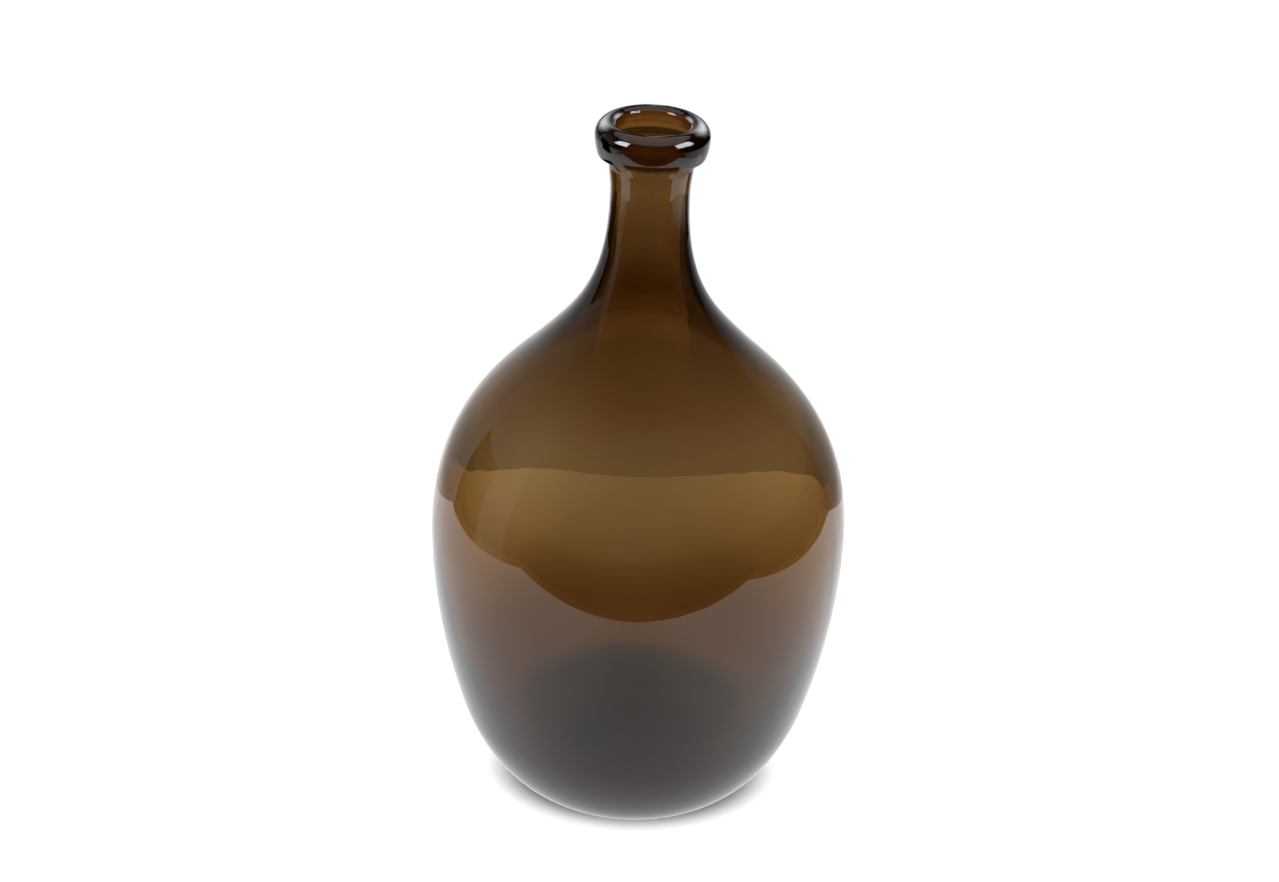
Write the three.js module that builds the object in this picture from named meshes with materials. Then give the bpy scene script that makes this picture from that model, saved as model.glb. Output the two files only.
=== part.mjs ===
// A bottle-shaped vase of blown glass with a thick ring of glass laid round its mouth.
// Millimetres, +Z up. The origin is the centre of the foot, on the surface that the vase stands on.

import * as THREE from 'three';

// Overall sizes
const overallHeight = 375;
const bodyDiameter = 215;

// Outline of the vessel, from the foot up. Each rise is counted from the place below it.
// The neck takes the height that the other rises and the lip ring leave.
const footDiameter = 76;
const heelRise = 55;
const heelInset = 15;
const heelHeading = 73;
const sideRise = 96;
const upperRise = 103;
const shoulderDiameter = 109;
const shoulderHeading = 133.7;
const neckDiameter = 39.4;
const neckFlare = 1.6;
const flareRise = 20.2;

// Hollow under the foot, inside the flat ring that the vase stands on
const footRingWidth = 8;
const footHollow = 3.5;

// Thickness of the glass at the places where the outline is fixed, and halfway between them.
// It is thick in the heel and at the base of the neck, and thin where the body was blown out.
const footWall = 8;
const lowerHeelWall = 7.6;
const heelWall = 6.9;
const lowerBodyWall = 4.1;
const bodyWall = 2.8;
const upperBodyWall = 2.4;
const shoulderWall = 4.3;
const neckBaseWall = 4.9;
const neckWall = 3.2;
const flareWall = 3.3;
const mouthWall = 3.5;

// Lip ring. Its wrap is how far the end of the neck stands up inside it, and its thickness is counted
// from there outwards. Its side draws in towards the bottom by the taper. From the crest the mouth rounds
// down and inwards, and it draws in past the bore by the tuck.
const ringHeight = 17.3;
const ringThickness = 7.1;
const ringWrap = 8;
const ringTaper = 1.45;
const ringCornerRadius = 0.8;
const ringCrownRadius = 7;
const mouthTuck = 1.1;
const mouthRound = 6.5;
const ringClearance = 0.3;

// Facets round the axis, and along the short curves of the profiles
const turnSegments = 60;
const domeSteps = 3;
const cornerSteps = 2;
const sideSteps = 3;
const crownSteps = 7;
const mouthSteps = 5;

// Sizes that follow from the ones above
const bodyRadius = bodyDiameter / 2;
const footRadius = footDiameter / 2;
const neckRadius = neckDiameter / 2;
const neckEndRadius = neckRadius + neckFlare;
const boreRadius = neckEndRadius - mouthWall;
const ringRadius = neckEndRadius + ringThickness;
const ringBottom = overallHeight - ringHeight;
const ringSeat = ringBottom + ringWrap;

// The places where the outline of the vessel is fixed, from the foot to the underside of the lip ring.
// heading is the outline's direction there in degrees: 0 is level and outwards, 90 is straight up.
// back and ahead say how far the curve keeps that direction, below the place and above it, as shares of
// the distance to the next place. wall is the thickness of the glass there, and wallBelow its thickness
// halfway to the place below. steps is the number of facets from the place below, outside and inside.
const widestHeight = heelRise + sideRise;
const places = [
  { r: footRadius, z: 0, heading: 0, ahead: 0.34, wall: footWall },
  {
    r: bodyRadius - heelInset, z: heelRise, heading: heelHeading,
    back: 0.38, ahead: 0.265, wall: heelWall, wallBelow: lowerHeelWall, steps: [9, 7],
  },
  {
    r: bodyRadius, z: widestHeight, heading: 90,
    back: 0.385, ahead: 0.52, wall: bodyWall, wallBelow: lowerBodyWall, steps: [6, 5],
  },
  {
    r: shoulderDiameter / 2, z: widestHeight + upperRise, heading: shoulderHeading,
    back: 0.21, ahead: 0.31, wall: shoulderWall, wallBelow: upperBodyWall, steps: [10, 8],
  },
  {
    r: neckRadius, z: ringBottom - flareRise, heading: 90,
    back: 0.535, ahead: 0.36, wall: neckWall, wallBelow: neckBaseWall, steps: [12, 9],
  },
  {
    r: neckEndRadius, z: ringBottom, heading: 90,
    back: 0.36, wall: mouthWall, wallBelow: flareWall, steps: [3, 2],
  },
];

const point = (r, z) => new THREE.Vector2(r, z);

// A unit step in a direction given in degrees from level and outwards.
function headingVector(degrees) {
  const angle = THREE.MathUtils.degToRad(degrees);
  return point(Math.cos(angle), Math.sin(angle));
}

// The smooth curve between two neighbouring places of the outline.
function curveBetween(below, above) {
  const from = point(below.r, below.z);
  const to = point(above.r, above.z);
  const distance = from.distanceTo(to);
  const leaving = headingVector(below.heading).multiplyScalar(below.ahead * distance);
  const arriving = headingVector(above.heading).multiplyScalar(above.back * distance);
  return new THREE.CubicBezierCurve(from, from.clone().add(leaving), to.clone().sub(arriving), to);
}

// The thickness of the glass from the foot to the mouth, as the height of a smooth curve through the walls.
function wallCurve() {
  const [foot, ...others] = places;
  const walls = [foot.wall, ...others.flatMap((place) => [place.wallBelow, place.wall])];
  return new THREE.SplineCurve(walls.map((wall, index) => point(index, wall)));
}

// Points of the vessel's outside, or of its inside at the depth of the glass, from the foot up.
function vesselOutline(inside) {
  const walls = wallCurve();
  const stretches = places.length - 1;
  const points = [];
  for (let i = 1; i <= stretches; i += 1) {
    const below = places[i - 1];
    const above = places[i];
    const curve = curveBetween(below, above);
    const steps = above.steps[inside ? 1 : 0];
    for (let step = i === 1 ? 0 : 1; step <= steps; step += 1) {
      const share = step / steps;
      const depth = inside ? walls.getPoint((i - 1 + share) / stretches).y : 0;
      const along = curve.getTangent(share);
      const inward = point(-along.y, along.x);
      points.push(curve.getPoint(share).addScaledVector(inward, depth));
    }
  }
  return points;
}

// A shallow dome from the axis out to an edge, level at its middle.
function dome(middleHeight, edge) {
  const middle = point(0, middleHeight);
  return new THREE.QuadraticBezierCurve(middle, point(edge.x / 2, middleHeight), edge).getPoints(domeSteps);
}

// A quarter of an ellipse about a centre, anticlockwise from a direction given in degrees.
function quarter(centre, width, height, fromDegrees, steps) {
  const from = THREE.MathUtils.degToRad(fromDegrees);
  const to = from + Math.PI / 2;
  return new THREE.EllipseCurve(centre.x, centre.y, width, height, from, to).getPoints(steps);
}

// A closed profile turned about the axis, stood up along +Z.
function turned(profile) {
  return new THREE.LatheGeometry(profile, turnSegments).rotateX(Math.PI / 2);
}

// The vessel: hollow foot, body, shoulder and neck, with the inside following the outside.
function vesselGeometry() {
  const inside = vesselOutline(true).reverse();
  const floorEdge = inside.at(-1);
  return turned([
    ...dome(footHollow, point(footRadius - footRingWidth, 0)),
    ...vesselOutline(false),
    point(neckEndRadius, ringSeat),
    point(boreRadius, ringSeat),
    ...inside,
    ...dome(footHollow + footWall, floorEdge).reverse().slice(1),
  ]);
}

// The lip ring: flat underneath, bulging up its side, rounded over the crown and down past the mouth.
// It is rebated to drop over the end of the neck and rest on its edge.
function lipRingGeometry() {
  const crestRadius = ringRadius - ringCrownRadius;
  const mouthRadius = boreRadius - mouthTuck;
  const rebateRadius = neckEndRadius + ringClearance;
  const footOfSide = point(ringRadius - ringTaper, ringBottom + ringCornerRadius);
  const corner = point(footOfSide.x - ringCornerRadius, footOfSide.y);
  const crown = point(crestRadius, overallHeight - ringCrownRadius);
  const brow = point(ringRadius, crown.y);
  const bulge = point(ringRadius, (footOfSide.y + brow.y) / 2);
  const mouth = point(crestRadius, overallHeight - mouthRound);
  return turned([
    point(rebateRadius, ringBottom),
    ...quarter(corner, ringCornerRadius, ringCornerRadius, -90, cornerSteps),
    ...new THREE.QuadraticBezierCurve(footOfSide, bulge, brow).getPoints(sideSteps).slice(1),
    ...quarter(crown, ringCrownRadius, ringCrownRadius, 0, crownSteps).slice(1),
    ...quarter(mouth, crestRadius - mouthRadius, mouthRound, 90, mouthSteps).slice(1),
    point(boreRadius, ringSeat),
    point(rebateRadius, ringSeat),
    point(rebateRadius, ringBottom),
  ]);
}

// One named piece of clear brown glass.
function glassPiece(name, geometry, colour) {
  const material = new THREE.MeshStandardMaterial({
    color: colour,
    roughness: 0.04,
    metalness: 0,
    transparent: true,
    opacity: 0.7,
  });
  const piece = new THREE.Mesh(geometry, material);
  piece.name = name;
  return piece;
}

const vase = new THREE.Group();
vase.add(
  glassPiece('blown_vessel', vesselGeometry(), '#6a4a22'),
  glassPiece('applied_lip_ring', lipRingGeometry(), '#5a3a18'),
);

export default vase;
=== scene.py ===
# A bottle-shaped vase of blown brown glass, standing on a pale table in a plain studio.
# Sizes are in millimetres and angles in degrees. What Blender is given is in metres.
# Azimuths are counted round the vase: 0 is the side of the camera, and 90 is the right.

import math

import bmesh
import bpy
import numpy as np
from mathutils import Matrix, Vector


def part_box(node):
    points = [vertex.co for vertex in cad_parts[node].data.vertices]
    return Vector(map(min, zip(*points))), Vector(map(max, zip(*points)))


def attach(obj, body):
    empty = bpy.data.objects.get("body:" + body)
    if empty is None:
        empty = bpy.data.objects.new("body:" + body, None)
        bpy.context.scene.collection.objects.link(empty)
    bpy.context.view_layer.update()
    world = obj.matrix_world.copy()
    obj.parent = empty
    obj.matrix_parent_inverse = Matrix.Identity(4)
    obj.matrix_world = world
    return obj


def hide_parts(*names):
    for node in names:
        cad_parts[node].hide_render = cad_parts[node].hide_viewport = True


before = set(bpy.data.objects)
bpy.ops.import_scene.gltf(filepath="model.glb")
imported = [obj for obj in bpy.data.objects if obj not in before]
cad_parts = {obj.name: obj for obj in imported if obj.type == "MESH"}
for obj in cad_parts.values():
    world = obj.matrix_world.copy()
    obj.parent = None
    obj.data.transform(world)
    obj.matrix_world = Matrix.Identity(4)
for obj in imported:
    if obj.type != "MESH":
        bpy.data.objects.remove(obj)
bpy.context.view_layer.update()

MM = 0.001
IMAGE_WIDTH = 1279

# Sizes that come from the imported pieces
vessel_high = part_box("blown_vessel")[1] / MM
ring_low, ring_high = (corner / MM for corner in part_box("applied_lip_ring"))
OVERALL_HEIGHT = ring_high.z
BODY_RADIUS = vessel_high.x
RING_RADIUS = ring_high.x
RING_BOTTOM = ring_low.z
NECK_TOP = vessel_high.z

# Outline of the vessel between the foot and the lip ring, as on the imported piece
FOOT_RADIUS = 38
HEEL_HEIGHT = 55
HEEL_INSET = 15
HEEL_HEADING = 73
WIDEST_HEIGHT = 151
SHOULDER_HEIGHT = 254
SHOULDER_RADIUS = 54.5
SHOULDER_HEADING = 133.7
NECK_HEIGHT = 337.5
NECK_RADIUS = 19.7
NECK_END_RADIUS = 21.3

# Thickness of the glass at the same places and halfway between them, and the hollow under the foot
FOOT_WALL = 8
LOWER_HEEL_WALL = 7.6
HEEL_WALL = 6.9
LOWER_BODY_WALL = 4.1
BODY_WALL = 2.8
UPPER_BODY_WALL = 2.4
SHOULDER_WALL = 4.3
NECK_BASE_WALL = 4.9
NECK_WALL = 3.2
FLARE_WALL = 3.3
MOUTH_WALL = 3.5
FOOT_RING_WIDTH = 8
FOOT_HOLLOW = 3.5

# Lip ring, which is melted onto the neck with a small fillet under it. The outline of the neck stops a
# small gap short of the fillet.
RING_CORNER_HEIGHT = 0.8
RING_TAPER = 1.45
RING_CROWN_RADIUS = 7
RING_FILLET = 0.5
FILLET_GAP = 0.2
MOUTH_TUCK = 1.1
MOUTH_ROUND = 6.5

# Inside the ring the bore opens out a little between two heights, which the colour of the glass there shows
BORE_SWELL = 2.0
SWELL_BOTTOM = 359
SWELL_TOP = 374.5

# The neck was drawn a little to one side as the vase was finished
NECK_LEAN = 1.3
LEAN_START = 185

# Hand work: slow waves round the vase, and fine lines that run down it like the folds of a curtain. The
# sizes are for the outside at its widest. They shrink with the radius, and the inside waves more. On the
# way up each one's phase drifts by up to so many radians in every rise.
WAVE_SIZE = 0.07
WAVE_HARMONICS = (2, 3, 4, 5, 7)
WAVE_DRIFT = 2.2
FOLD_SIZE = 0.003
FOLD_HARMONICS = (23, 31, 37, 43, 53)
FOLD_DRIFT = 0.9
DRIFT_RISE = 60
INSIDE_SHARE = 2.2
WAVE_PATTERN = 4

# The cut end of the lip ring's trail of glass, which left a mark at the front
SEAM_ANGLE = -91
SEAM_WIDTH = 0.8
SEAM_DEPTH = 0.22

# Seeds, the tiny bubbles in the wall. The lowest sixth of the outline has none.
SEED_COUNT = 46
SEED_SIZES = (0.14, 0.42)
SEED_STRETCH = 1.7
SEED_FREE_PART = 6
SEED_PATTERN = 11

# Fineness of the mesh: facets round the axis, lengths along the outline, steps of its short stretches, and
# divisions of a seed's ball
TURN_STEPS = 288
OUTLINE_STEP = 2.0
OUTLINE_LEAST_STEPS = 4
RING_STEP = 0.5
RING_LEAST_STEPS = 3
RING_SIDE_STEPS = 16
STRAIGHT_STEPS = 6
FOOT_STEPS = 4
HOLLOW_STEPS = 14
FLOOR_STEPS = 16
SEED_DIVISIONS = 2

# Clear brown glass. What it takes away from each metre of light is its density times what its colour lacks.
GLASS_IOR = 1.5
GLASS_DENSITY = 600
GLASS_COLOUR = (0.61, 0.438, 0.112)

# Camera
CAMERA_DISTANCE = 1500
CAMERA_ELEVATION = 27.13
CAMERA_AIM = 199.7
CAMERA_ROLL = 1.736
CAMERA_LENS = 82.14
SENSOR_WIDTH = 36
PICTURE_SHIFT_PIXELS = -1.05

# Table top, just under the foot
TABLE_LEFT = -690
TABLE_RIGHT = 610
TABLE_NEAR = -408
TABLE_FAR = 350
TABLE_GAP = 0.05
TABLE_COLOUR = (0.9, 0.9, 0.9)

# What lifts the table to white for the camera fades out under the vase, which paints a soft shadow there on
# top of the real one that the lamps cast. It does so between two distances in front of the axis, and
# further out to both sides, where distances count less.
TABLE_LIFT = 0.8
LIFT_DISTANCES = (42, 62)
LIFT_SIDEWAYS = 0.75

# The table, in mirrors and through the glass, brightens from its middle towards both ends
TABLE_MIRRORED = 0.98
TABLE_MIRRORED_GAIN = 0.3
TABLE_SEEN = 0.68
TABLE_SEEN_GAIN = 0.6
TABLE_ENDS = 200

# Painted shadow on the table behind the foot, standing in for the one that light from above leaves of the
# neck and shoulder. It shows only through the glass.
NECK_SHADOW_BACK = 52
NECK_SHADOW_RADIUS = 68
NECK_SHADOW_EDGE = 28
NECK_SHADOW_DEPTH = 0.9

# How bright the studio is by azimuth and by height above level, where 1 is white. In mirrors the camera's
# side is a dark room, and the pale backdrop brightens towards the back.
MIRRORED_BY_AZIMUTH = (
    (-180, 1.05), (-171, 0.95), (-161, 0.85), (-153, 0.6), (-141, 0.4), (-130, 0.3), (-118, 0.36),
    (-90, 0.28), (-76, 0.24), (-74, 0.01), (126, 0.01), (129, 0.13), (140, 0.26), (150, 0.42),
    (160, 0.6), (171, 0.85), (180, 1.05),
)
MIRRORED_BY_HEIGHT = ((-90, 1), (4, 1), (15, 0.85), (25, 0.65), (35, 0.3), (45, 0.08), (90, 0.04))
OVERHEAD_BY_HEIGHT = ((0, 0.01), (45, 0.015), (60, 0.05), (90, 0.12))
# The floor past both ends of the table. Only the shoulder, neck and lip ring are high enough to mirror it.
FLOOR_BY_AZIMUTH = (
    (-180, 0), (-130, 0.6), (-75, 0.6), (-65, 0), (65, 0), (75, 0.6), (130, 0.6), (180, 0),
)
FLOOR_BY_HEIGHT = ((-90, 1), (-23, 1), (-18, 0), (90, 0))
# Through the glass the backdrop is grey low behind and lighter to both sides of that. Further up it is
# bright behind and dark to both sides, and from about level upwards it is white all round.
LOW_BY_AZIMUTH = (
    (-180, 0.48), (-168, 0.55), (-158, 0.9), (-150, 1.2), (-142, 0.8), (-132, 0.5), (0, 0.5),
    (132, 0.5), (142, 0.8), (150, 1.2), (158, 0.9), (168, 0.55), (180, 0.48),
)
MIDDLE_BY_AZIMUTH = (
    (-180, 0.7), (-174, 0.9), (-168, 1.1), (-162, 1.15), (-156, 0.8), (-150, 0.3), (-144, 0.12), (0, 0.12),
    (144, 0.12), (150, 0.3), (156, 0.8), (162, 1.15), (168, 1.1), (174, 0.9), (180, 0.7),
)
MIDDLE_HEIGHTS = (-25, -15)
WHITE_HEIGHTS = (-3, 5)
# What is matt gets this much soft light from all round
DAYLIGHT = 0.3

# Square soft lamps that face the vase, with their azimuths and powers
LAMPS = (("left_lamp", -25, 7), ("right_lamp", 35, 6))
LAMP_ELEVATION = 60
LAMP_DISTANCE = 1400
LAMP_SIZE = 1000

# Panels and screens bent round the vase, which show in mirrors and nowhere else. Each stands between two
# azimuths and two heights, at one distance from the axis at the bottom and another at the top. The skirt
# and the screens are black. They cover parts of the panels, the table and the backdrop in mirrors.
PANELS = {
    "dark_screen": {"azimuths": (-116, -92), "heights": (-500, 455), "distances": (1000, 1000), "light": 0},
    "left_softbox": {"azimuths": (-73, -46), "heights": (400, 478), "distances": (130, 130), "light": 15},
    "right_softbox": {"azimuths": (48, 84), "heights": (408, 480), "distances": (130, 130), "light": 13},
    "skirt": {"azimuths": (-78, 126), "heights": (359, 363), "distances": (55, 130), "light": 0},
    "left_back_softbox": {
        "azimuths": (-180, -112), "heights": (364, 486), "distances": (130, 130), "light": 4.5,
        "soft_edges": True,
    },
    "right_back_softbox": {
        "azimuths": (108, 176), "heights": (364, 486), "distances": (130, 130), "light": 5.5,
        "soft_edges": True,
    },
    "front_screen": {"azimuths": (-52, 52), "heights": (300, 328), "distances": (60, 60), "light": 0},
    "left_screen": {"azimuths": (-125, -80), "heights": (300, 328), "distances": (60, 60), "light": 0},
    "right_screen": {"azimuths": (107, 125), "heights": (300, 328), "distances": (60, 60), "light": 0},
}
# Steps of their mesh round the vase and upwards
PANEL_STEPS = 24
PANEL_ROWS = 12

# A level round panel over the mouth
TOP_PANEL_RADIUS = 145
TOP_PANEL_HEIGHT = 520
TOP_PANEL_LIGHT = 0.9
TOP_PANEL_SIDES = 32

# Two dark cards behind the base of the neck, which only show through glass and paint shade there: the dark
# wedges seen through the base of the neck. They stand between two heights and fade out from the fade's top
# downwards. Their inner edge is given by height and distance to the side.
FLAG_HEIGHTS = (196, 300)
FLAG_FADE_TOP = 262
FLAG_INNER_EDGE = ((196, 26), (236, 26), (264, 30), (300, 46))
FLAG_OUTER_EDGE = 110
FLAG_ROWS = 27
FLAG_BACK = 62
FLAG_LIGHT = 0.12

# A round card behind the lip ring on every side, which only shows through glass and paints light and shade
# into the ring's glass. It is grey between the first two heights and bright between the last two.
CARD_RADIUS = 38
CARD_HEIGHTS = (351, 357.5, 378)
CARD_SHADE = 0.3
CARD_LIGHT = 1.15


def between(ends, share):
    """The value at a share of the way between two ends."""
    return ends[0] + (ends[1] - ends[0]) * share


def heading_vector(degrees):
    """A unit step in a direction counted from level and outwards."""
    angle = math.radians(degrees)
    return np.array([math.cos(angle), math.sin(angle)])


def stand_at(azimuth, distance, height):
    """The place at an azimuth, at a distance from the axis and at a height."""
    angle = math.radians(azimuth)
    return math.sin(angle) * distance, -math.cos(angle) * distance, height


def curve_between(below, above, shares):
    """Points and unit directions of the smooth curve between two places of the outline."""
    start = np.array([below["radius"], below["height"]], float)
    end = np.array([above["radius"], above["height"]], float)
    distance = np.linalg.norm(end - start)
    leave = start + heading_vector(below["heading"]) * below["ahead"] * distance
    arrive = end - heading_vector(above["heading"]) * above["back"] * distance
    share = shares[:, None]
    rest = 1 - share
    points = (
        rest**3 * start + 3 * rest * rest * share * leave
        + 3 * rest * share * share * arrive + share**3 * end
    )
    along = (
        rest * rest * (leave - start) + 2 * rest * share * (arrive - leave)
        + share * share * (end - arrive)
    )
    return points, along / np.linalg.norm(along, axis=1)[:, None]


# The places where the outline is fixed. The heading is its direction there, and back and ahead say how far
# the curve keeps it, below the place and above it, as shares of the distance to the next place. The wall
# before is the thickness of the glass halfway to the place below.
PLACES = [
    {"radius": FOOT_RADIUS, "height": 0, "heading": 0, "ahead": 0.34, "wall": FOOT_WALL},
    {"radius": BODY_RADIUS - HEEL_INSET, "height": HEEL_HEIGHT, "heading": HEEL_HEADING,
     "back": 0.38, "ahead": 0.265, "wall": HEEL_WALL, "wall_before": LOWER_HEEL_WALL},
    {"radius": BODY_RADIUS, "height": WIDEST_HEIGHT, "heading": 90,
     "back": 0.385, "ahead": 0.52, "wall": BODY_WALL, "wall_before": LOWER_BODY_WALL},
    {"radius": SHOULDER_RADIUS, "height": SHOULDER_HEIGHT, "heading": SHOULDER_HEADING,
     "back": 0.21, "ahead": 0.31, "wall": SHOULDER_WALL, "wall_before": UPPER_BODY_WALL},
    {"radius": NECK_RADIUS, "height": NECK_HEIGHT, "heading": 90,
     "back": 0.535, "ahead": 0.36, "wall": NECK_WALL, "wall_before": NECK_BASE_WALL},
    {"radius": NECK_END_RADIUS, "height": RING_BOTTOM, "heading": 90,
     "back": 0.36, "wall": MOUTH_WALL, "wall_before": FLARE_WALL},
]


def smooth_through(values, where):
    """A smooth curve that passes through evenly spaced values, read at shares of its whole length."""
    slopes = np.gradient(values)
    place = np.clip(np.asarray(where) * (len(values) - 1), 0, len(values) - 1)
    low = np.minimum(place.astype(int), len(values) - 2)
    share = place - low
    return (
        values[low] * (1 + 2 * share) * (1 - share) ** 2 + slopes[low] * share * (1 - share) ** 2
        + values[low + 1] * share * share * (3 - 2 * share) + slopes[low + 1] * share * share * (share - 1)
    )


def vessel_outline(inside):
    """Points of the vessel's outside, or of its inside at the depth of the glass, from the foot up."""
    walls = [PLACES[0]["wall"]]
    for above in PLACES[1:]:
        walls += [above["wall_before"], above["wall"]]
    walls = np.array(walls, float)
    stretches = len(PLACES) - 1
    points = []
    for index, (below, above) in enumerate(zip(PLACES, PLACES[1:])):
        length = math.dist((below["radius"], below["height"]), (above["radius"], above["height"]))
        steps = max(OUTLINE_LEAST_STEPS, round(length / OUTLINE_STEP))
        shares = np.linspace(0, 1, steps + 1)
        if points:
            shares = shares[1:]
        curve, along = curve_between(below, above, shares)
        if inside:
            depth = smooth_through(walls, (index + shares) / stretches)
            inward = np.stack([-along[:, 1], along[:, 0]], 1)
            curve = curve + inward * depth[:, None]
        points.extend(curve)
    return points


def arc(centre, width, height, start, end):
    """Points on an ellipse about a centre, from one angle to another."""
    length = math.radians(abs(end - start)) * max(width, height)
    steps = max(RING_LEAST_STEPS, round(length / RING_STEP))
    points = []
    for angle in np.radians(np.linspace(start, end, steps + 1)):
        points.append(np.array([centre[0] + width * math.cos(angle), centre[1] + height * math.sin(angle)]))
    return points


def bend_between(start, control, end, steps):
    """Points on a quadratic curve."""
    start, control, end = (np.array(place, float) for place in (start, control, end))
    points = []
    for share in np.linspace(0, 1, steps + 1):
        rest = 1 - share
        points.append(rest**2 * start + 2 * share * rest * control + share * share * end)
    return points


def straight(start, end, steps):
    """Points between two places, without the places themselves."""
    ends = np.array(start, float), np.array(end, float)
    return [between(ends, share) for share in np.linspace(0, 1, steps + 1)[1:-1]]


def mouth_outline(bore_radius):
    """The inside of the lip ring from its crest down to the top of the neck."""
    crest_radius = RING_RADIUS - RING_CROWN_RADIUS
    mouth_radius = bore_radius - MOUTH_TUCK
    mouth = (crest_radius, OVERALL_HEIGHT - MOUTH_ROUND)
    return [
        *arc(mouth, crest_radius - mouth_radius, MOUTH_ROUND, 90, 180)[1:],
        *straight((mouth_radius, mouth[1]), (bore_radius, NECK_TOP), STRAIGHT_STEPS),
        np.array([bore_radius, NECK_TOP]),
    ]


def ring_outline():
    """The outside of the lip ring from the fillet under it, up its side and over the crown to its crest."""
    crest_radius = RING_RADIUS - RING_CROWN_RADIUS
    brow = (RING_RADIUS, OVERALL_HEIGHT - RING_CROWN_RADIUS)
    foot_of_side = (RING_RADIUS - RING_TAPER, RING_BOTTOM + RING_CORNER_HEIGHT)
    bulge = (RING_RADIUS, (foot_of_side[1] + brow[1]) / 2)
    # The corner turns until it meets the side's own slope
    lean_out = math.degrees(math.atan2(bulge[0] - foot_of_side[0], bulge[1] - foot_of_side[1]))
    corner_radius = RING_CORNER_HEIGHT / (1 - math.sin(math.radians(lean_out)))
    corner_inset = corner_radius * math.cos(math.radians(lean_out))
    corner = (foot_of_side[0] - corner_inset, RING_BOTTOM + corner_radius)
    fillet = (NECK_END_RADIUS + RING_FILLET, RING_BOTTOM - RING_FILLET)
    return [
        *arc(fillet, RING_FILLET, RING_FILLET, 180, 90),
        *straight((fillet[0], RING_BOTTOM), (corner[0], RING_BOTTOM), STRAIGHT_STEPS),
        *arc(corner, corner_radius, corner_radius, -90, -lean_out),
        *bend_between(foot_of_side, bulge, brow, RING_SIDE_STEPS)[1:],
        *arc((crest_radius, brow[1]), RING_CROWN_RADIUS, RING_CROWN_RADIUS, 0, 90)[1:],
    ]


def opened_out(points):
    """The inside of the mouth with the bore swelled inside the ring."""
    swelled = []
    for radius, height in points:
        rise = min(max((height - SWELL_BOTTOM) / (SWELL_TOP - SWELL_BOTTOM), 0), 1)
        swelled.append(np.array([radius + BORE_SWELL * math.sin(math.pi * rise) ** 2, height]))
    return swelled


def vase_profile():
    """The whole closed outline, from the axis under the foot to the axis on the inner floor."""
    neck_end = RING_BOTTOM - RING_FILLET - FILLET_GAP
    outside = [point for point in vessel_outline(False) if point[1] < neck_end]
    inside = vessel_outline(True)[::-1]
    bore_radius = NECK_END_RADIUS - MOUTH_WALL
    into_neck = straight((bore_radius, NECK_TOP), inside[0], STRAIGHT_STEPS)
    throat = opened_out([*mouth_outline(bore_radius), *into_neck, *inside])
    hollow_edge = (FOOT_RADIUS - FOOT_RING_WIDTH, 0)
    floor_edge = inside[-1]
    hollow_middle = (hollow_edge[0] / 2, FOOT_HOLLOW)
    under_foot = bend_between((0, FOOT_HOLLOW), hollow_middle, hollow_edge, HOLLOW_STEPS)
    floor_top = FOOT_HOLLOW + FOOT_WALL
    floor = bend_between(floor_edge, (floor_edge[0] / 2, floor_top), (0, floor_top), FLOOR_STEPS)
    return np.array([
        *under_foot,
        *straight(hollow_edge, (FOOT_RADIUS, 0), FOOT_STEPS),
        *outside,
        *ring_outline(),
        *throat,
        *floor[1:],
    ])


def leaned(points):
    """The points moved to one side the more the higher they are."""
    rise = np.clip((points[:, 2] - LEAN_START) / (RING_BOTTOM - LEAN_START), 0, None)
    slope = 2 * NECK_LEAN * rise / (RING_BOTTOM - LEAN_START)
    across = points[:, 0].copy()
    points[:, 0] = NECK_LEAN * rise * rise + across * np.cos(np.arctan(slope))
    points[:, 2] -= across * np.sin(np.arctan(slope))
    return points


def waves(angles, heights):
    """How far the blown wall strays outwards at each height and angle, for the outside and the inside."""
    choose = np.random.default_rng(WAVE_PATTERN)
    kinds = ((WAVE_HARMONICS, WAVE_SIZE, WAVE_DRIFT), (FOLD_HARMONICS, FOLD_SIZE, FOLD_DRIFT))
    strays = []
    for share in (1, INSIDE_SHARE):
        stray = np.zeros((len(heights), len(angles)))
        for harmonics, size, drift in kinds:
            for harmonic in harmonics:
                start = choose.uniform(0, 2 * math.pi)
                turn = choose.uniform(-drift, drift)
                phase = harmonic * angles[None] + start + turn * heights[:, None] / DRIFT_RISE
                stray += share * size * np.cos(phase)
        strays.append(stray)
    return strays


def hand_worked(radii, heights, angles, inside):
    """The radii with the waves of blown glass and the seam of the lip ring. The foot stays flat."""
    settled = np.clip(heights / HEEL_HEIGHT, 0, 1) * radii / BODY_RADIUS
    outer, inner = waves(angles, heights)
    worked = radii[:, None] + np.where(inside[:, None], inner, outer) * settled[:, None]
    from_seam = (angles - math.radians(SEAM_ANGLE) + math.pi) % (2 * math.pi) - math.pi
    seam = SEAM_DEPTH * np.exp(-(np.abs(from_seam) * RING_RADIUS / SEAM_WIDTH) ** 2)
    on_ring = (heights > RING_BOTTOM) & ~inside
    return worked - seam[None] * on_ring[:, None]


def new_mesh(name, points, faces):
    """A mesh of points that are given in millimetres."""
    mesh = bpy.data.meshes.new(name)
    mesh.from_pydata((np.array(points) * MM).tolist(), [], faces)
    return mesh


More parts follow.
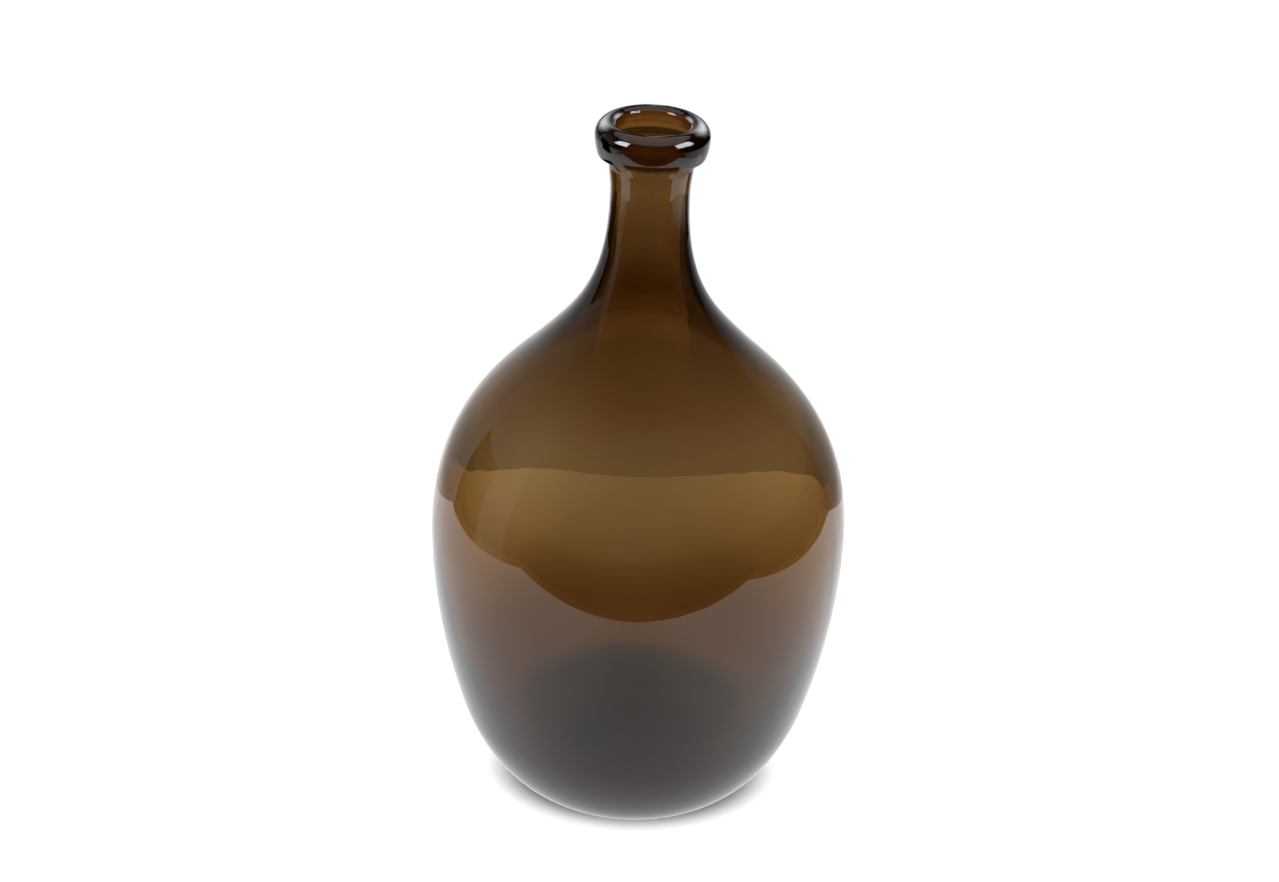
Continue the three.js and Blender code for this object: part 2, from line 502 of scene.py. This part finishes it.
def turned_mesh(name, profile):
    """A closed mesh of a profile turned about the axis, whose first and last points lie on the axis."""
    rings = profile[1:-1]
    angles = np.arange(TURN_STEPS) * 2 * math.pi / TURN_STEPS
    around = np.stack([np.cos(angles), np.sin(angles)], 1)
    inside = np.arange(len(rings)) > np.argmax(rings[:, 1])
    points = np.empty((len(rings), TURN_STEPS, 3))
    points[:, :, :2] = hand_worked(rings[:, 0], rings[:, 1], angles, inside)[:, :, None] * around[None]
    points[:, :, 2] = rings[:, None, 1]
    ends = np.array([[0, 0, profile[0, 1]], [0, 0, profile[-1, 1]]])
    points = leaned(np.concatenate([points.reshape(-1, 3), ends]))
    first, last = len(points) - 2, len(points) - 1
    faces = []
    for row in range(len(rings) - 1):
        low, high = row * TURN_STEPS, (row + 1) * TURN_STEPS
        for step in range(TURN_STEPS):
            after = (step + 1) % TURN_STEPS
            faces.append((low + step, low + after, high + after, high + step))
    top = (len(rings) - 1) * TURN_STEPS
    for step in range(TURN_STEPS):
        after = (step + 1) % TURN_STEPS
        faces.append((first, after, step))
        faces.append((last, top + step, top + after))
    mesh = new_mesh(name, points, faces)
    mesh.shade_smooth()
    return mesh


def seeds_mesh(name):
    """Tiny bubbles halfway through the wall, stretched upwards. Their faces look inwards."""
    ball = bmesh.new()
    bmesh.ops.create_icosphere(ball, subdivisions=SEED_DIVISIONS, radius=1)
    round_points = np.array([corner.co[:] for corner in ball.verts])
    round_faces = [[corner.index for corner in reversed(face.verts)] for face in ball.faces]
    ball.free()
    choose = np.random.default_rng(SEED_PATTERN)
    outer, inner = (np.array(vessel_outline(side)) for side in (False, True))
    middle = (outer + inner) / 2
    points, faces = [], []
    for seed in range(SEED_COUNT):
        radius, height = middle[choose.integers(len(middle) // SEED_FREE_PART, len(middle))]
        angle = choose.uniform(0, 2 * math.pi)
        size = between(SEED_SIZES, choose.random() ** 2)
        centre = np.array([radius * math.cos(angle), radius * math.sin(angle), height])
        points.append(centre + round_points * size * np.array([1, 1, SEED_STRETCH]))
        first = seed * len(round_points)
        faces += [tuple(corner + first for corner in face) for face in round_faces]
    mesh = new_mesh(name, leaned(np.concatenate(points)), faces)
    mesh.shade_smooth()
    return mesh


def new_object(name, mesh, material):
    """A new object in the scene that wears one material."""
    thing = bpy.data.objects.new(name, mesh)
    mesh.materials.append(material)
    bpy.context.scene.collection.objects.link(thing)
    return thing


def new_material(name):
    """An empty node material, its node tree and its output."""
    material = bpy.data.materials.new(name)
    material.use_nodes = True
    tree = material.node_tree
    tree.nodes.clear()
    return material, tree, tree.nodes.new("ShaderNodeOutputMaterial")


def glass_material(name, absorbs=True):
    """Clear glass. Where it absorbs, it is brown, and darkens with the length of the way through it."""
    material, tree, output = new_material(name)
    surface = tree.nodes.new("ShaderNodeBsdfPrincipled")
    surface.inputs["Base Color"].default_value = (1, 1, 1, 1)
    surface.inputs["Roughness"].default_value = 0
    surface.inputs["IOR"].default_value = GLASS_IOR
    surface.inputs["Transmission Weight"].default_value = 1
    tree.links.new(surface.outputs["BSDF"], output.inputs["Surface"])
    if absorbs:
        volume = tree.nodes.new("ShaderNodeVolumeAbsorption")
        volume.inputs["Color"].default_value = (*GLASS_COLOUR, 1)
        volume.inputs["Density"].default_value = GLASS_DENSITY
        tree.links.new(volume.outputs["Volume"], output.inputs["Volume"])
    return material


def connect(tree, value, socket):
    """Gives a socket a plain number or another socket's value."""
    if isinstance(value, (int, float)):
        socket.default_value = value
    else:
        tree.links.new(value, socket)


def math_of(tree, operation, first, second):
    """A sum, product or the like of two inputs, each a socket or a plain number."""
    node = tree.nodes.new("ShaderNodeMath")
    node.operation = operation
    connect(tree, first, node.inputs[0])
    connect(tree, second, node.inputs[1])
    return node.outputs[0]


def mix_of(tree, share, first, second):
    """The first input where the share is 0 and the second where it is 1."""
    node = tree.nodes.new("ShaderNodeMix")
    tree.links.new(share, node.inputs["Factor"])
    connect(tree, first, node.inputs["A"])
    connect(tree, second, node.inputs["B"])
    return node.outputs["Result"]


def rising(tree, share, least, gain):
    """A value that rises from the least by the gain as the share goes from 0 to 1."""
    return math_of(tree, "ADD", math_of(tree, "MULTIPLY", share, gain), least)


def smooth_range(tree, value, start, end):
    """A share that goes smoothly from 0 at the start to 1 at the end."""
    node = tree.nodes.new("ShaderNodeMapRange")
    node.interpolation_type = "SMOOTHSTEP"
    node.inputs["From Min"].default_value = start
    node.inputs["From Max"].default_value = end
    tree.links.new(value, node.inputs["Value"])
    return node.outputs["Result"]


def mixed_shaders(tree, share, first, second):
    """The first shader where the share is 0 and the second where it is 1."""
    mixed = tree.nodes.new("ShaderNodeMixShader")
    tree.links.new(share, mixed.inputs[0])
    tree.links.new(first, mixed.inputs[1])
    tree.links.new(second, mixed.inputs[2])
    return mixed.outputs[0]


def matt_with_painted_shadow(tree, where, to_camera):
    """Matt white, lifted for the camera so that it clips to white, with the lift fading under the vase into
    a painted shadow on top of the real one.
    """
    matt = tree.nodes.new("ShaderNodeBsdfDiffuse")
    matt.inputs["Color"].default_value = (*TABLE_COLOUR, 1)
    counted = tree.nodes.new("ShaderNodeVectorMath")
    counted.operation = "MULTIPLY"
    counted.inputs[1].default_value = (LIFT_SIDEWAYS, 1, 0)
    tree.links.new(where, counted.inputs[0])
    out = tree.nodes.new("ShaderNodeVectorMath")
    out.operation = "LENGTH"
    tree.links.new(counted.outputs["Vector"], out.inputs[0])
    near, far = (distance * MM for distance in LIFT_DISTANCES)
    lifted = smooth_range(tree, out.outputs["Value"], near, far)
    lifted = math_of(tree, "MULTIPLY", lifted, TABLE_LIFT)
    lift = tree.nodes.new("ShaderNodeEmission")
    tree.links.new(math_of(tree, "MULTIPLY", to_camera, lifted), lift.inputs["Strength"])
    both = tree.nodes.new("ShaderNodeAddShader")
    tree.links.new(matt.outputs[0], both.inputs[0])
    tree.links.new(lift.outputs[0], both.inputs[1])
    return both.outputs[0]


def outside_painted_neck_shadow(tree, where):
    """A share of light, which is least in the painted soft shadow of the neck behind the foot."""
    away = tree.nodes.new("ShaderNodeVectorMath")
    away.operation = "DISTANCE"
    away.inputs[1].default_value = (0, NECK_SHADOW_BACK * MM, 0)
    tree.links.new(where, away.inputs[0])
    inner, outer = (NECK_SHADOW_RADIUS + side * NECK_SHADOW_EDGE / 2 for side in (-1, 1))
    clear = smooth_range(tree, away.outputs["Value"], inner * MM, outer * MM)
    return rising(tree, clear, 1 - NECK_SHADOW_DEPTH, NECK_SHADOW_DEPTH)


def glow_by_place(tree, where, through_glass):
    """The table's glow in mirrors and through glass, brighter at both ends, with a painted neck shadow
    through glass.
    """
    axes = tree.nodes.new("ShaderNodeSeparateXYZ")
    tree.links.new(where, axes.inputs["Vector"])
    across = math_of(tree, "ABSOLUTE", axes.outputs["X"], 0)
    ends = smooth_range(tree, across, 0, TABLE_ENDS * MM)
    mirrored = rising(tree, ends, TABLE_MIRRORED, TABLE_MIRRORED_GAIN)
    seen = rising(tree, ends, TABLE_SEEN, TABLE_SEEN_GAIN)
    seen = math_of(tree, "MULTIPLY", seen, outside_painted_neck_shadow(tree, where))
    glow = tree.nodes.new("ShaderNodeEmission")
    tree.links.new(mix_of(tree, through_glass, mirrored, seen), glow.inputs["Strength"])
    return glow.outputs[0]


def table_material():
    """A matt white table top, which has a glow of its own in mirrors and through glass, and painted
    shadows.
    """
    material, tree, output = new_material("white_table")
    rays = tree.nodes.new("ShaderNodeLightPath").outputs
    where = tree.nodes.new("ShaderNodeTexCoord").outputs["Object"]
    matt = matt_with_painted_shadow(tree, where, rays["Is Camera Ray"])
    # A ray that a smooth glass bends counts as a glossy ray too, so what is seen goes over what is mirrored
    glow = glow_by_place(tree, where, rays["Is Transmission Ray"])
    indirect = math_of(tree, "MAXIMUM", rays["Is Glossy Ray"], rays["Is Transmission Ray"])
    tree.links.new(mixed_shaders(tree, indirect, matt, glow), output.inputs["Surface"])
    return material


def glow_of(tree, strength):
    """A white glow."""
    glow = tree.nodes.new("ShaderNodeEmission")
    glow.inputs["Strength"].default_value = strength
    return glow


def mesh_share(tree):
    """The mesh's own share of light."""
    share = tree.nodes.new("ShaderNodeAttribute")
    share.attribute_name = "share"
    return share.outputs["Fac"]


def glowing_material(name, strength, soft_edges=False):
    """A white glow, even or falling off smoothly towards the edges as the mesh's own share of it says."""
    material, tree, output = new_material(name)
    glow = glow_of(tree, strength)
    if soft_edges:
        tree.links.new(math_of(tree, "MULTIPLY", mesh_share(tree), strength), glow.inputs["Strength"])
    tree.links.new(glow.outputs[0], output.inputs["Surface"])
    return material


def fading_material(name, strength):
    """An even glow that turns clear where the mesh's own share of it runs out."""
    material, tree, output = new_material(name)
    clear = tree.nodes.new("ShaderNodeBsdfTransparent").outputs[0]
    glow = glow_of(tree, strength).outputs[0]
    tree.links.new(mixed_shaders(tree, mesh_share(tree), clear, glow), output.inputs["Surface"])
    return material


def mirrored_only(panel):
    """A part of the studio that shows in mirrors and nowhere else."""
    panel.visible_camera = False
    panel.visible_diffuse = False
    panel.visible_transmission = False
    panel.visible_shadow = False


def seen_through(card):
    """A part of the studio that shows through glass and nowhere else."""
    card.visible_camera = False
    card.visible_diffuse = False
    card.visible_glossy = False
    card.visible_shadow = False


def mesh_with_shares(name, points, faces, shares):
    """A mesh that carries a share of light at each point."""
    mesh = new_mesh(name, points, faces)
    mesh.attributes.new("share", "FLOAT", "POINT").data.foreach_set("value", shares)
    return mesh


def panel_mesh(name, azimuths, heights, distances, rows):
    """A sheet bent round the vase. Its share of light is 1 in its middle and falls to 0 at its edges."""
    points, shares = [], []
    for up in np.linspace(0, 1, rows + 1):
        for along in np.linspace(0, 1, PANEL_STEPS + 1):
            points.append(stand_at(between(azimuths, along), between(distances, up), between(heights, up)))
            shares.append((math.sin(math.pi * along) * math.sin(math.pi * up)) ** 2)
    per_row = PANEL_STEPS + 1
    faces = []
    for row in range(rows):
        for corner in range(row * per_row, row * per_row + PANEL_STEPS):
            faces.append((corner, corner + 1, corner + per_row + 1, corner + per_row))
    return mesh_with_shares(name, points, faces, shares)


def curved_panel(name, azimuths, heights, distances, light, soft_edges=False):
    """A bent panel or screen that only mirrors show."""
    mesh = panel_mesh(name, azimuths, heights, distances, PANEL_ROWS)
    mirrored_only(new_object(name, mesh, glowing_material(name + "_glow", light, soft_edges)))


def ring_card(name, heights, light):
    """A round card behind the lip ring, which only shows through glass and paints its glow into the ring.
    """
    mesh = panel_mesh(name, (-180, 180), heights, (CARD_RADIUS, CARD_RADIUS), 1)
    seen_through(new_object(name, mesh, glowing_material(name + "_glow", light)))


def painted_shade_flag(name, side):
    """An upright dark card behind the base of the neck, on its left (-1) or its right (1), which paints
    shade there.
    """
    points, shares = [], []
    for height in np.linspace(*FLAG_HEIGHTS, FLAG_ROWS):
        rise = min((height - FLAG_HEIGHTS[0]) / (FLAG_FADE_TOP - FLAG_HEIGHTS[0]), 1)
        for across in (np.interp(height, *zip(*FLAG_INNER_EDGE)), FLAG_OUTER_EDGE):
            points.append((side * across, FLAG_BACK, height))
            shares.append(rise * rise * (3 - 2 * rise))
    faces = [(corner, corner + 1, corner + 3, corner + 2) for corner in range(0, len(points) - 2, 2)]
    mesh = mesh_with_shares(name, points, faces, shares)
    seen_through(new_object(name, mesh, fading_material(name + "_glow", FLAG_LIGHT)))


def top_panel():
    """The level panel over the mouth, which is there for the lip ring to mirror."""
    angles = np.arange(TOP_PANEL_SIDES) * 2 * math.pi / TOP_PANEL_SIDES
    points = [
        (TOP_PANEL_RADIUS * math.cos(angle), TOP_PANEL_RADIUS * math.sin(angle), TOP_PANEL_HEIGHT)
        for angle in angles
    ]
    mesh = new_mesh("top_panel", points, [tuple(range(TOP_PANEL_SIDES))])
    mirrored_only(new_object("top_panel", mesh, glowing_material("top_panel_glow", TOP_PANEL_LIGHT)))


def make_table():
    """The flat table top that the vase stands on."""
    corners = [
        (TABLE_LEFT, TABLE_NEAR, -TABLE_GAP), (TABLE_RIGHT, TABLE_NEAR, -TABLE_GAP),
        (TABLE_RIGHT, TABLE_FAR, -TABLE_GAP), (TABLE_LEFT, TABLE_FAR, -TABLE_GAP),
    ]
    mesh = new_mesh("table_top", corners, [(0, 1, 2, 3)])
    new_object("table_top", mesh, table_material())


def graded(tree, share, stops, limit):
    """A brightness that runs through stops of degrees and light. The share goes from -limit to limit."""
    ramp = tree.nodes.new("ShaderNodeValToRGB")
    elements = ramp.color_ramp.elements
    while len(elements) < len(stops):
        elements.new(1)
    for element, (degrees, light) in zip(elements, stops):
        element.position = (degrees + limit) / (2 * limit)
        element.color = (light, light, light, 1)
    tree.links.new(share, ramp.inputs["Fac"])
    return ramp.outputs["Color"]


def by_azimuth(tree, around, stops):
    """A brightness that changes round the vase."""
    return graded(tree, around, stops, 180)


def by_height(tree, upwards, stops):
    """A brightness that changes from straight down to straight up."""
    return graded(tree, upwards, stops, 90)


def world_directions(tree):
    """Each direction's share of the way round, its angle above level, and its share of the way up."""
    direction = tree.nodes.new("ShaderNodeTexCoord").outputs["Generated"]
    # The radial gradient counts from -180 degrees, and this turn puts 0 on the side of the camera
    turn = tree.nodes.new("ShaderNodeMapping")
    turn.inputs["Rotation"].default_value = (0, 0, math.radians(90))
    tree.links.new(direction, turn.inputs["Vector"])
    around = tree.nodes.new("ShaderNodeTexGradient")
    around.gradient_type = "RADIAL"
    tree.links.new(turn.outputs["Vector"], around.inputs["Vector"])
    axes = tree.nodes.new("ShaderNodeSeparateXYZ")
    tree.links.new(direction, axes.inputs["Vector"])
    height = tree.nodes.new("ShaderNodeMath")
    height.operation = "ARCSINE"
    tree.links.new(axes.outputs["Z"], height.inputs[0])
    upwards = tree.nodes.new("ShaderNodeMapRange")
    upwards.inputs["From Min"].default_value = -math.pi / 2
    upwards.inputs["From Max"].default_value = math.pi / 2
    tree.links.new(height.outputs[0], upwards.inputs["Value"])
    return around.outputs["Fac"], height.outputs[0], upwards.outputs["Result"]


def studio_in_mirrors(tree, around, upwards):
    """The backdrop and the dark room, with what is overhead and the floor past the table."""
    walls = by_azimuth(tree, around, MIRRORED_BY_AZIMUTH)
    walls = math_of(tree, "MULTIPLY", walls, by_height(tree, upwards, MIRRORED_BY_HEIGHT))
    mirrored = math_of(tree, "ADD", walls, by_height(tree, upwards, OVERHEAD_BY_HEIGHT))
    floor = by_azimuth(tree, around, FLOOR_BY_AZIMUTH)
    floor = math_of(tree, "MULTIPLY", floor, by_height(tree, upwards, FLOOR_BY_HEIGHT))
    return math_of(tree, "ADD", mirrored, floor)


def studio_through_glass(tree, around, height):
    """The backdrop, which changes twice on the way up."""
    low = by_azimuth(tree, around, LOW_BY_AZIMUTH)
    middle = by_azimuth(tree, around, MIDDLE_BY_AZIMUTH)
    bottom, top = (math.radians(degrees) for degrees in MIDDLE_HEIGHTS)
    seen = mix_of(tree, smooth_range(tree, height, bottom, top), low, middle)
    bottom, top = (math.radians(degrees) for degrees in WHITE_HEIGHTS)
    return mix_of(tree, smooth_range(tree, height, bottom, top), seen, 1)


def make_world():
    """White to the camera, the studio through glass and in mirrors, and soft light on what is matt."""
    world = bpy.data.worlds.new("studio")
    bpy.context.scene.world = world
    world.use_nodes = True
    tree = world.node_tree
    tree.nodes.clear()
    around, height, upwards = world_directions(tree)
    mirrored = studio_in_mirrors(tree, around, upwards)
    seen = studio_through_glass(tree, around, height)
    rays = tree.nodes.new("ShaderNodeLightPath").outputs
    strength = mix_of(tree, rays["Is Glossy Ray"], DAYLIGHT, mirrored)
    strength = mix_of(tree, rays["Is Transmission Ray"], strength, seen)
    strength = mix_of(tree, rays["Is Camera Ray"], strength, 1)
    background = tree.nodes.new("ShaderNodeBackground")
    background.inputs["Color"].default_value = (1, 1, 1, 1)
    tree.links.new(strength, background.inputs["Strength"])
    tree.links.new(background.outputs[0], tree.nodes.new("ShaderNodeOutputWorld").inputs["Surface"])


def make_lamp(name, azimuth, power):
    """A square soft lamp that faces the vase."""
    light = bpy.data.lights.new(name, "AREA")
    light.shape = "SQUARE"
    light.size = LAMP_SIZE * MM
    light.energy = power
    lamp = bpy.data.objects.new(name, light)
    bpy.context.scene.collection.objects.link(lamp)
    elevation = math.radians(LAMP_ELEVATION)
    out, up = math.cos(elevation) * LAMP_DISTANCE, math.sin(elevation) * LAMP_DISTANCE
    place = Vector(stand_at(azimuth, out, up)) * MM
    lamp.matrix_world = Matrix.Translation(place) @ place.to_track_quat("Z", "Y").to_matrix().to_4x4()
    lamp.visible_camera = False
    lamp.visible_glossy = False
    lamp.visible_transmission = False


def make_camera():
    """The camera, rolled a little as the photograph is."""
    data = bpy.data.cameras.new("camera")
    data.lens = CAMERA_LENS
    data.sensor_width = SENSOR_WIDTH
    data.shift_x = PICTURE_SHIFT_PIXELS / IMAGE_WIDTH
    camera = bpy.data.objects.new("camera", data)
    bpy.context.scene.collection.objects.link(camera)
    elevation = math.radians(CAMERA_ELEVATION)
    back = Vector((0, -math.cos(elevation), math.sin(elevation)))
    up = Vector((0, math.sin(elevation), math.cos(elevation)))
    level = Matrix((Vector((1, 0, 0)), up, back)).transposed().to_4x4()
    place = (Vector((0, 0, CAMERA_AIM)) + back * CAMERA_DISTANCE) * MM
    roll = Matrix.Rotation(math.radians(CAMERA_ROLL), 4, "Z")
    camera.matrix_world = Matrix.Translation(place) @ level @ roll
    bpy.context.scene.camera = camera


def make_vase():
    """The one body of glass that the blown vessel and its lip ring make together."""
    mesh = turned_mesh("vase_glass", vase_profile())
    vase = new_object("vase_glass", mesh, glass_material("brown_glass"))
    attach(vase, "root")
    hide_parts("blown_vessel", "applied_lip_ring")


def make_seeds():
    """The bubbles in the wall of the vessel."""
    seeds = new_object("seeds", seeds_mesh("seeds"), glass_material("seed_air", absorbs=False))
    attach(seeds, "root")


make_camera()
make_vase()
make_seeds()
make_table()
make_world()
for name, azimuth, power in LAMPS:
    make_lamp(name, azimuth, power)
for name, panel in PANELS.items():
    curved_panel(name, **panel)
painted_shade_flag("left_flag", -1)
painted_shade_flag("right_flag", 1)
# Painted shade and painted light seen in the glass of the lip ring
ring_card("ring_shade", CARD_HEIGHTS[:2], CARD_SHADE)
ring_card("ring_card", CARD_HEIGHTS[1:], CARD_LIGHT)
top_panel()

scene = bpy.context.scene
scene.view_settings.view_transform = "Standard"
scene.cycles.max_bounces = 32
scene.cycles.transmission_bounces = 32
scene.cycles.glossy_bounces = 8
